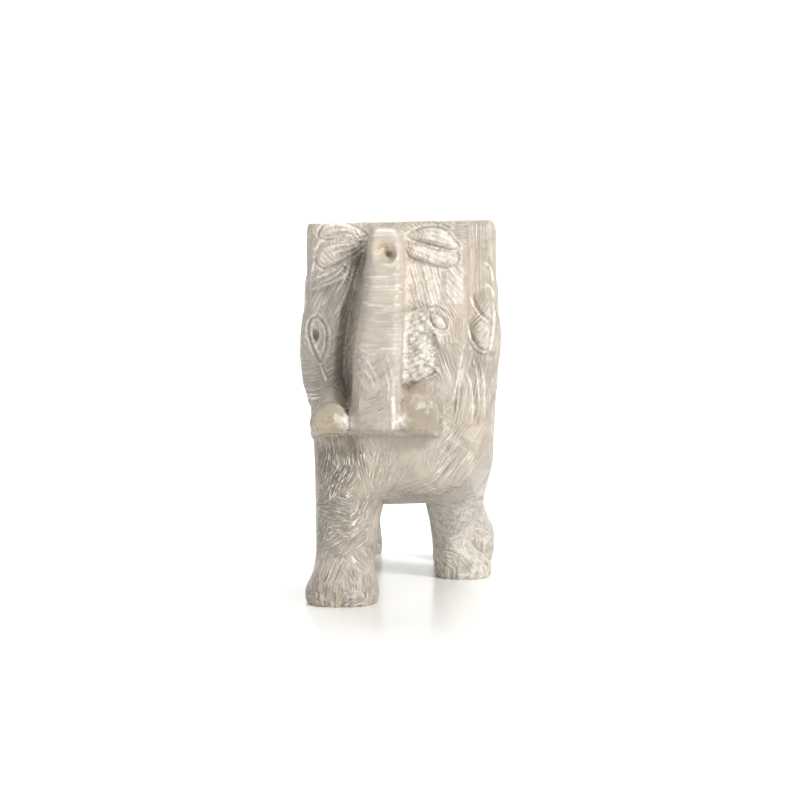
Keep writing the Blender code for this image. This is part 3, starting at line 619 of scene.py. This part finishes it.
def leaves(u, v):
    """Height inside leaf-shaped scoops: 0 on the crests between them and 1 in the middle of one."""
    row = np.floor(u)
    run = v * (0.75 + 0.5 * ((row * COLUMN[1]) % 1.0)) + (row * COLUMN[0]) % 1.0
    return np.abs(np.sin(pi * u)) ** 0.8 * np.abs(np.sin(pi * run)) ** 0.5


def owners(places):
    """The patch each place lies on, and 0 at its border rising to 1 well inside."""
    found = [tree.find_n(p, 2) for p in places]
    gap = np.array([pair[1][2] - pair[0][2] for pair in found])
    return np.array([pair[0][1] for pair in found]), np.clip(gap / PATCH_BORDER, 0.0, 1.0)


def sawn_top(places):
    """Height of the sawn top over or under each place."""
    return TOP_HEIGHT + TOP_RISE * places[:, 0] - TOP_FALL * places[:, 1]


owner, within = owners(points)
worked = np.ones(len(points))
worked[(points[:, 1] < TRUNK_BACK) & (points[:, 2] > TRUNK_LOW)] = BARELY_WORKED
for zone in HATCH_ZONES:
    worked[face.at[inside(face.flat, zone[0])]] = HATCHED
worked[points[:, 2] > sawn_top(points) - SAW_EDGE] = BARELY_WORKED
worked[points[:, 2] < SAW_EDGE] = 0.0
push = SCOOP * (leaves(*on_patch(points, owner)) - 0.5) * within
swells = np.zeros(len(points))
for size, height in SWELL:
    swells += height * np.array([noise.noise(Vector(p) / size) for p in points])
points += normals * ((swells - push) * worked)[:, None]

# Painted light: the left legs are painted paler than the right ones, lower down.
at = (points[:, 0] > 6.0) & (points[:, 1] > 25.0) & (points[:, 1] < 96.0)
crushed_and_painted_light[at] = np.maximum(crushed_and_painted_light[at], 0.45 * np.clip((34.0 - points[at, 2]) / 8.0, 0, 1))

# The top and the soles are sawn flat, and the carving stays inside the block that was cut.
WITHIN_BLOCK = 0.06
SOLE = 0.1
points[:, 2] = np.clip(points[:, 2], 0.0, sawn_top(points))
low, high = (np.array(corner) / U + MIDDLE for corner in cad_box)
points = np.clip(points, low + WITHIN_BLOCK, high - WITHIN_BLOCK)
points[:, 2] = np.where(points[:, 2] < SOLE, 0.0, points[:, 2])
dip = np.einsum("ij,ij->i", uncut - points, normals)
skin.vertices.foreach_set("co", ((points - MIDDLE) * U).ravel())
for name, values in (("hollow", np.clip(dip / 1.5, -1, 1)), ("crushed_and_painted_light", np.clip(crushed_and_painted_light, 0, 1))):
    layer = skin.attributes.new(name, "FLOAT", "POINT")
    layer.data.foreach_set("value", values)
skin.update()

# The face, the trunk and the forelegs keep a finer skin than the flanks and the back.
TRIANGLES = 190000
PLAIN_FIRST = 1.0
PLAIN_DEPTHS = ((0.45, 30.0, 44.0), (1.0, 44.0, 200.0))
carving = bpy.data.objects.new("elephant_carving", skin)
bpy.context.scene.collection.objects.link(carving)
plain = carving.vertex_groups.new(name="plain")
for share, low, high in PLAIN_DEPTHS:
    plain.add(np.nonzero((points[:, 1] >= low) & (points[:, 1] < high))[0].tolist(), share, "REPLACE")
carving.modifiers.new("split", "TRIANGULATE")
thin = carving.modifiers.new("thinned", "DECIMATE")
thin.vertex_group = "plain"
thin.vertex_group_factor = PLAIN_FIRST
thin.ratio = TRIANGLES / (2.0 * len(skin.polygons))
final = with_modifiers(carving)
carving.modifiers.clear()
carving.vertex_groups.clear()
carving.data = final
final.name = "elephant_carving"
for polygon in final.polygons:
    polygon.use_smooth = True

# Every corner of the mesh gets its place along and across the strokes of its patch, or of its panel of the
# face. The finish draws the thin crests and their painted glints from that.
LEG_TOP = 46.0
BIB_MIDDLE = (3.0, 38.0)
STRENGTH = 0.5                  # of the strokes all over, and what the legs have more
LEG_STRENGTH = 0.6
LEFT_LEG_STRENGTH = 0.5
BIB_WORN = 0.85                 # what the bib and the ends of the tusks have less
END_WORN = 0.8
FAINT = 0.3
LEVEL_STROKE = (1.2, 7.0)       # the lines across the trunk, above this height
LEVEL_FROM = 66.0
TOP_SKIN = 0.3
faces = len(final.polygons)
centres = np.empty(faces * 3)
final.polygons.foreach_get("center", centres)
centres = centres.reshape(-1, 3) / U + MIDDLE
facings = np.empty(faces * 3)
final.polygons.foreach_get("normal", facings)
facings = facings.reshape(-1, 3)
loops = np.empty(faces * 3, np.int32)
final.loops.foreach_get("vertex_index", loops)
places = read(final, "co") / U + MIDDLE
corners = places[loops]
owner = np.repeat([tree.find(p)[1] for p in centres], 3)
within = owners(places)[1][loops]
u, v = on_patch(corners, owner)
on_legs = np.clip((LEG_TOP - corners[:, 2]) / 8.0, 0, 1)
from_bib = np.hypot(corners[:, 0] - BIB_MIDDLE[0], 1.3 * (corners[:, 2] - BIB_MIDDLE[1]))
on_bib = bell(from_bib, 16.0) * (corners[:, 1] < 30.0)
on_ends = np.zeros(len(corners))
for x, height in TUSK_ENDS:
    near = bell(np.hypot(corners[:, 0] - x, corners[:, 2] - height), 8.0)
    on_ends = np.maximum(on_ends, near * (corners[:, 1] < 8.0))
on_left = on_legs * (corners[:, 0] > 6.0) * (corners[:, 1] > 25.0)
strength = STRENGTH + LEG_STRENGTH * on_legs + LEFT_LEG_STRENGTH * on_left - BIB_WORN * on_bib
strength = strength * within * (1.0 - END_WORN * on_ends)
strokes = np.stack((u, v, strength), axis=1).reshape(faces, 3, 3)
corners = corners.reshape(faces, 3, 3)
front = (facings[:, 1] < -0.25) & (centres[:, 1] < FACE_BACK) & (centres[:, 1] > TRUNK_BACK)
for k, (outline, angle, width, length, strength) in enumerate(HATCH_ZONES):
    chosen = front & inside(centres[:, [0, 2]], outline)
    along = np.array((cos(radians(angle)), sin(radians(angle))))
    flat = corners[chosen][:, :, [0, 2]]
    astray = stray(corners[chosen].reshape(-1, 3)).reshape(-1, 3, 2)
    strokes[chosen, :, 0] = (flat @ np.array((along[1], -along[0]))) / width + astray[:, :, 0] + 7.0 * k
    strokes[chosen, :, 1] = flat @ along / length + astray[:, :, 1] + 3.0 * k
    strokes[chosen, :, 2] = strength
on_trunk = (centres[:, 1] < TRUNK_BACK) & (centres[:, 2] > 45.5) & (facings[:, 1] < 0.2)
level = on_trunk & (centres[:, 2] > LEVEL_FROM)
strokes[level, :, 0] = corners[level][:, :, 2] / LEVEL_STROKE[0]
strokes[level, :, 1] = corners[level][:, :, 0] / LEVEL_STROKE[1]
strokes[on_trunk, :, 2] *= 0.5
strokes[level, :, 2] = FAINT
strokes[centres[:, 2] > sawn_top(centres) - TOP_SKIN, :, 2] = FAINT
stroke_layer = final.attributes.new("strokes", "FLOAT_VECTOR", "CORNER")
stroke_layer.data.foreach_set("vector", strokes.ravel())

# Dust and painted shade, as one amount: darker towards the legs and less at the feet, with the left flank
# and legs kept lighter as painted light. Darker over the right petals, on the left ear and low on the trunk;
# painted shade beside the trunk and in the right pupil, and most of all a painted shadow of the chin, with
# some dust, high on the right foreleg. Each line gives how much, where its middle is and how far it reaches.
side, depth, height = places.T
flat = places[:, [0, 2]]
dust_and_shade = 0.12 + 0.22 * np.clip((64.0 - height) / 16.0, 0, 1) + 0.22 * np.clip((LEG_TOP - height) / 10.0, 0, 1)
dust_and_shade += 0.6 * bell(np.hypot((side + 14.0) / 9.0, (height - 93.0) / 9.0), 1.0)
dust_and_shade += 0.35 * np.clip((side - 15.0) / 3.0, 0, 1) * (depth < 30.0) * (height > LEG_TOP)
# Painted light: the left flank and legs keep much less of this darkening.
dust_and_shade[(side > 4.0) & (depth > 20.0)] *= 0.3
# Painted shade beside the trunk's left edge, where the trunk shades the face.
dust_and_shade += 0.2 * bell(distance_to(flat, flowing(BESIDE_TRUNK))[0], 5.5) * (depth < 30.0) * (depth > 4.0)
dust_and_shade += 0.35 * np.clip((68.0 - height) / 6.0, 0, 1) * (depth < 4.0) * (height > LEG_TOP)
# Painted shade in the carved hollow of the right pupil.
dust_and_shade += 1.5 * bell(np.linalg.norm(flat - np.array(PUPIL[0]), axis=1), 1.9) * (depth < 30.0)
# Painted shadow of the chin high on the right foreleg, with some dust in it.
dust_and_shade += 2.3 * bell(np.hypot((side + 16.0) / 9.0, (height - 38.0) / 10.0), 1.0) * (depth < 16.0)
dust_and_shade *= 1.0 - 0.6 * np.clip((16.0 - height) / 6.0, 0, 1)
final.attributes.new("dust_and_shade", "FLOAT", "POINT").data.foreach_set("value", dust_and_shade)

# Thin places, where light gets into the stone: the tusks, the nostril and the rims of the feet.
thin_stone = np.clip(1 - height / 5.0, 0, 1) * 0.8
on_foot = (side > 6.0) & (depth > 36.0) & (depth < 64.0)
thin_stone[on_foot] = np.clip(1.3 - height[on_foot] / 6.0, 0, 1)
for (x, z), reach in ((TUSK_ENDS[0], 6.4), (TUSK_ENDS[1], 6.8), (NOSTRIL[0], 4.0)):
    near = bell(np.hypot(side - x, height - z), reach) * (depth < 6.0)
    thin_stone = np.maximum(thin_stone, near)
thin_layer = final.attributes.new("thin", "FLOAT", "POINT")
thin_layer.data.foreach_set("value", thin_stone)

# The stone's finish.
# Pale warm grey soapstone, cut but not polished: newly cut strokes are white with crushed stone and carry
# painted glints, their furrows hold brown dust, the carved hollows are painted darker as shade, the ridges
# shine like silk, and thin stone looks yellow. Sizes here are in metres.
PALE = (0.50, 0.43, 0.355, 1.0)
GREY = (0.375, 0.335, 0.29, 1.0)
DUST_AND_SHADE = (0.20, 0.165, 0.125, 1.0)
CRUSHED = (0.80, 0.76, 0.69, 1.0)
HONEY = (0.50, 0.41, 0.27, 1.0)
AMBER = (0.36, 0.28, 0.14, 1.0)
GREY_CLOUDS = 0.016
BRIGHT_CLOUDS = 0.010
SPECK_CLOUDS = 0.008
FURROW_CLOUDS = 0.007
DUST_CLOUDS = 0.005
HONEY_CLOUDS = 0.004
PALE_SPOTS = 0.0034
AMBER_SPOTS = 0.0022
CRUMBS = 0.0014
SHEEN_SPOTS = 0.0012
SPECKS = 0.0009
GRIT = 0.00045
GRIT_DEPTH = 0.00012
STROKE_DEPTH = 0.00048
LIGHT_INTO_STONE = 0.0010


def chisel_marks():
    """Node group: leaf-shaped scoops along the strokes, as heights, crests with painted glints, furrows and
    tones.
    """
    group = bpy.data.node_groups.new("chisel_marks", "ShaderNodeTree")
    group.interface.new_socket("Strokes", in_out="INPUT", socket_type="NodeSocketVector")
    for name in ("Height", "CrestAndGlint", "Furrow", "Tone"):
        group.interface.new_socket(name, in_out="OUTPUT", socket_type="NodeSocketFloat")
    nodes, links = group.nodes, group.links
    start = nodes.new("NodeGroupInput")
    end = nodes.new("NodeGroupOutput")
    parts = nodes.new("ShaderNodeSeparateXYZ")
    links.new(start.outputs["Strokes"], parts.inputs[0])

    def math(what, *values):
        made = nodes.new("ShaderNodeMath")
        made.operation = what
        for socket, value in zip(made.inputs, values):
            if isinstance(value, float):
                socket.default_value = value
            else:
                links.new(value, socket)
        return made.outputs[0]

    def spread(value, low, high, out_low, out_high):
        made = nodes.new("ShaderNodeMapRange")
        made.interpolation_type = "SMOOTHSTEP"
        links.new(value, made.inputs["Value"])
        ends = {"From Min": low, "From Max": high, "To Min": out_low, "To Max": out_high}
        for name, number in ends.items():
            made.inputs[name].default_value = number
        return made.outputs[0]

    def arch(value, power):
        return math("POWER", math("ABSOLUTE", math("SINE", math("MULTIPLY", value, pi))), power)

    u, v = parts.outputs["X"], parts.outputs["Y"]
    row = math("FLOOR", u)
    longer = math("MULTIPLY_ADD", math("FRACT", math("MULTIPLY", row, COLUMN[1])), 0.5, 0.75)
    run = math("MULTIPLY_ADD", v, longer, math("FRACT", math("MULTIPLY", row, COLUMN[0])))
    leaf = math("MULTIPLY", arch(u, 0.8), arch(run, 0.5))
    which = nodes.new("ShaderNodeCombineXYZ")
    links.new(row, which.inputs[0])
    links.new(math("FLOOR", run), which.inputs[1])
    tone = nodes.new("ShaderNodeTexWhiteNoise")
    tone.noise_dimensions = "2D"
    links.new(which.outputs[0], tone.inputs["Vector"])
    drawn_out = nodes.new("ShaderNodeVectorMath")
    drawn_out.operation = "MULTIPLY"
    drawn_out.inputs[1].default_value = (2.9, 0.95, 0.0)
    links.new(start.outputs["Strokes"], drawn_out.inputs[0])
    own = nodes.new("ShaderNodeCombineXYZ")
    links.new(math("MULTIPLY", tone.outputs["Value"], 6.0), own.inputs[2])
    set_apart = nodes.new("ShaderNodeVectorMath")
    set_apart.operation = "ADD"
    links.new(drawn_out.outputs[0], set_apart.inputs[0])
    links.new(own.outputs[0], set_apart.inputs[1])
    streak = nodes.new("ShaderNodeTexNoise")
    streak.inputs["Scale"].default_value = 1.0
    streak.inputs["Detail"].default_value = 4.0
    streak.inputs["Roughness"].default_value = 0.62
    links.new(set_apart.outputs[0], streak.inputs["Vector"])
    across = math("FRACT", u)
    one_side = spread(across, 0.22, 0.03, 0.0, 1.0)
    chosen = spread(tone.outputs["Value"], 0.35, 0.80, 0.0, 1.0)
    tilt = math("MULTIPLY_ADD", tone.outputs["Value"], 1.8, -0.9)
    lean = math("MULTIPLY", math("SUBTRACT", across, 0.5), tilt)
    broken = spread(streak.outputs["Fac"], 0.40, 0.58, 0.0, 1.0)
    edge = math("MULTIPLY", math("MULTIPLY", one_side, chosen), broken)
    # Painted glints: white specks along the streaks, standing in for the sparkle of the cut stone.
    glint = spread(streak.outputs["Fac"], 0.54, 0.67, 0.0, 1.0)
    scoop = math("MULTIPLY_ADD", leaf, -0.5, lean)
    links.new(math("MULTIPLY_ADD", streak.outputs["Fac"], 1.1, scoop), end.inputs["Height"])
    links.new(math("MAXIMUM", edge, glint), end.inputs["CrestAndGlint"])
    links.new(spread(streak.outputs["Fac"], 0.47, 0.30, 0.0, 1.0), end.inputs["Furrow"])
    links.new(tone.outputs["Value"], end.inputs["Tone"])
    return group


def stone_finish():
    material = bpy.data.materials.new("carved_soapstone")
    material.use_nodes = True
    nodes, links = material.node_tree.nodes, material.node_tree.links
    shader = nodes["Principled BSDF"]
    place = nodes.new("ShaderNodeTexCoord").outputs["Object"]

    def attribute(name, output):
        reader = nodes.new("ShaderNodeAttribute")
        reader.attribute_name = name
        return reader.outputs[output]

    def cloud(size, detail, rough=0.55):
        made = nodes.new("ShaderNodeTexNoise")
        made.inputs["Scale"].default_value = 1.0 / size
        made.inputs["Detail"].default_value = detail
        made.inputs["Roughness"].default_value = rough
        links.new(place, made.inputs["Vector"])
        return made.outputs["Fac"]

    def spread(value, low, high, out_low=0.0, out_high=1.0):
        made = nodes.new("ShaderNodeMapRange")
        made.interpolation_type = "SMOOTHSTEP"
        links.new(value, made.inputs["Value"])
        ends = {"From Min": low, "From Max": high, "To Min": out_low, "To Max": out_high}
        for name, number in ends.items():
            made.inputs[name].default_value = number
        return made.outputs[0]

    def times(a, b):
        made = nodes.new("ShaderNodeMath")
        made.operation = "MULTIPLY"
        for socket, value in zip(made.inputs, (a, b)):
            if isinstance(value, float):
                socket.default_value = value
            else:
                links.new(value, socket)
        return made.outputs[0]

    def blend(share, first, second):
        made = nodes.new("ShaderNodeMix")
        made.data_type = "RGBA"
        links.new(share, made.inputs["Factor"])
        for socket, value in (("A", first), ("B", second)):
            target = [i for i in made.inputs if i.name == socket and i.type == "RGBA"][0]
            if isinstance(value, tuple):
                target.default_value = value
            else:
                links.new(value, target)
        return [o for o in made.outputs if o.type == "RGBA"][0]

    strokes_here = attribute("strokes", "Vector")
    parts = nodes.new("ShaderNodeSeparateXYZ")
    links.new(strokes_here, parts.inputs[0])
    marks = nodes.new("ShaderNodeGroup")
    marks.node_tree = chisel_marks()
    links.new(strokes_here, marks.inputs["Strokes"])

    strength = parts.outputs["Z"]
    dust_and_shade = attribute("dust_and_shade", "Fac")
    thin = attribute("thin", "Fac")
    colour = blend(spread(cloud(GREY_CLOUDS, 4.0), 0.36, 0.66), PALE, GREY)
    yellow = times(thin, spread(cloud(HONEY_CLOUDS, 3.0), 0.35, 0.62, 0.35, 1.0))
    colour = blend(times(yellow, 0.8), colour, HONEY)
    colour = blend(times(times(thin, spread(cloud(AMBER_SPOTS, 3.0), 0.47, 0.60)), 0.5), colour, AMBER)
    colour = blend(times(times(marks.outputs["Tone"], strength), 0.55), colour, GREY)

    furrow = times(marks.outputs["Furrow"], spread(cloud(FURROW_CLOUDS, 3.0), 0.32, 0.60, 0.35, 1.0))
    colour = blend(times(times(furrow, spread(dust_and_shade, 0.0, 0.8, 0.25, 1.0)), 0.9), colour, DUST_AND_SHADE)
    colour = blend(times(times(spread(cloud(DUST_CLOUDS, 4.0), 0.34, 0.60), dust_and_shade), 0.5), colour, DUST_AND_SHADE)
    # Darker by the amount of dust and painted shade, which holds the painted chin shadow and the shade
    # beside the trunk.
    colour = blend(times(spread(dust_and_shade, 0.1, 1.4), 0.42), colour, DUST_AND_SHADE)
    specks = times(spread(cloud(SPECKS, 2.0), 0.56, 0.66), spread(cloud(SPECK_CLOUDS, 2.0), 0.46, 0.60))
    colour = blend(times(times(specks, dust_and_shade), 0.9), colour, DUST_AND_SHADE)
    # Painted shade: the deeper a place was cut, the darker it is painted.
    deep = spread(attribute("hollow", "Fac"), 0.25, 0.80)
    colour = blend(times(deep, 0.25), colour, DUST_AND_SHADE)

    proud = spread(attribute("hollow", "Fac"), -0.06, -0.30)
    colour = blend(times(proud, 0.30), colour, CRUSHED)
    bright = times(spread(cloud(BRIGHT_CLOUDS, 3.0), 0.34, 0.62, 0.35, 1.3), strength)
    # White crushed stone on one side of each crest, and the painted glints.
    colour = blend(times(marks.outputs["CrestAndGlint"], bright), colour, CRUSHED)
    crumbs = spread(cloud(CRUMBS, 3.0), 0.42, 0.56, 0.6, 1.7)
    colour = blend(times(times(attribute("crushed_and_painted_light", "Fac"), crumbs), 0.75), colour, CRUSHED)
    pale_spots = times(thin, spread(cloud(PALE_SPOTS, 2.0), 0.54, 0.66))
    colour = blend(times(pale_spots, 0.45), colour, CRUSHED)
    links.new(colour, shader.inputs["Base Color"])

    links.new(spread(cloud(SHEEN_SPOTS, 3.0), 0.3, 0.7, 0.28, 0.50), shader.inputs["Roughness"])
    shader.inputs["Subsurface Weight"].default_value = 0.10
    shader.inputs["Subsurface Radius"].default_value = (1.0, 0.8, 0.55)
    shader.inputs["Subsurface Scale"].default_value = LIGHT_INTO_STONE
    shader.inputs["Coat Weight"].default_value = 0.10
    shader.inputs["Coat Roughness"].default_value = 0.28
    shader.inputs["Specular IOR Level"].default_value = 0.55

    grit = nodes.new("ShaderNodeBump")
    grit.inputs["Strength"].default_value = 0.4
    grit.inputs["Distance"].default_value = GRIT_DEPTH
    links.new(cloud(GRIT, 3.0, 0.7), grit.inputs["Height"])
    cut = nodes.new("ShaderNodeBump")
    cut.inputs["Strength"].default_value = 1.0
    cut.inputs["Distance"].default_value = STROKE_DEPTH
    links.new(times(marks.outputs["Height"], strength), cut.inputs["Height"])
    links.new(grit.outputs[0], cut.inputs["Normal"])
    links.new(cut.outputs[0], shader.inputs["Normal"])
    return material


final.materials.clear()
final.materials.append(stone_finish())
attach(carving, "root")
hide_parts("elephant")

# The floor, the light and the camera.
# A pale sheet that curves up behind, under a wide lamp over its back. A soft lamp stands high on the right
# in front of the figure, and a weak one on the left. Sizes here are in metres.
FLOOR_WIDTH = 4.0
FLOOR_FRONT = -2.4
FLOOR_BACK = 1.6
FLOOR_BEND = 0.5
FLOOR_TOP = 2.4
FLOOR_COLOUR = (0.90, 0.90, 0.89, 1.0)
bm = bmesh.new()
profile = [(FLOOR_FRONT, 0.0)]
for turn in np.linspace(0, pi / 2, 16):
    profile.append((FLOOR_BACK + FLOOR_BEND * sin(turn), FLOOR_BEND - FLOOR_BEND * cos(turn)))
profile.append((FLOOR_BACK + FLOOR_BEND, FLOOR_TOP))
rows = [[bm.verts.new((x, y, z)) for y, z in profile] for x in (-FLOOR_WIDTH / 2, FLOOR_WIDTH / 2)]
for k in range(len(profile) - 1):
    bm.faces.new((rows[0][k], rows[1][k], rows[1][k + 1], rows[0][k + 1]))
sheet_mesh = bpy.data.meshes.new("floor")
bm.to_mesh(sheet_mesh)
bm.free()
for polygon in sheet_mesh.polygons:
    polygon.use_smooth = True
floor = bpy.data.objects.new("floor", sheet_mesh)
bpy.context.scene.collection.objects.link(floor)
paper = bpy.data.materials.new("pale_floor")
paper.use_nodes = True
surface = paper.node_tree.nodes["Principled BSDF"]
surface.inputs["Base Color"].default_value = FLOOR_COLOUR
surface.inputs["Roughness"].default_value = 0.22
surface.inputs["Specular IOR Level"].default_value = 0.35
sheet_mesh.materials.append(paper)

LAMPS = (                       # name, place, aim, size, watts, tint
    ("key", (0.58, -0.50, 0.44), (0.0, 0.0, 0.05), 0.24, 6.6, (1.0, 0.98, 0.95)),
    ("fill", (-0.30, -0.85, 0.16), (0.0, 0.0, 0.04), 0.50, 2.2, (0.95, 0.97, 1.0)),
    ("back", (0.0, 1.1, 1.4), (0.0, 1.1, 0.0), 1.40, 30.0, (1.0, 1.0, 1.0)),
)
for name, place, aim, size, power, tint in LAMPS:
    data = bpy.data.lights.new(name, "AREA")
    data.size = size
    data.energy = power
    data.color = tint
    lamp = bpy.data.objects.new(name, data)
    lamp.location = place
    lamp.rotation_euler = (Vector(aim) - Vector(place)).to_track_quat("-Z", "Y").to_euler()
    bpy.context.scene.collection.objects.link(lamp)
WHITE_ALL_ROUND = 0.55
world = bpy.data.worlds.new("studio")
world.use_nodes = True
world.node_tree.nodes["Background"].inputs["Color"].default_value = (1.0, 1.0, 1.0, 1.0)
world.node_tree.nodes["Background"].inputs["Strength"].default_value = WHITE_ALL_ROUND
bpy.context.scene.world = world
bpy.context.scene.view_settings.view_transform = "Standard"

TOE_DISTANCE = 5.62             # from the lens to the front toe, in heights of the figure
LENS_HEIGHT = 1.05
LENS = 99.1
FILM = 36.0
TILT = radians(5.187)
lens = bpy.data.cameras.new("camera")
lens.lens = LENS
lens.sensor_width = FILM
lens.clip_start = 0.01
camera = bpy.data.objects.new("camera", lens)
tall = cad_box[1][2] - cad_box[0][2]
camera.location = (-MIDDLE[0] * U, -TOE_DISTANCE * tall - MIDDLE[1] * U, LENS_HEIGHT * tall)
camera.rotation_euler = (pi / 2 - TILT, 0.0, 0.0)
bpy.context.scene.collection.objects.link(camera)
bpy.context.scene.camera = camera
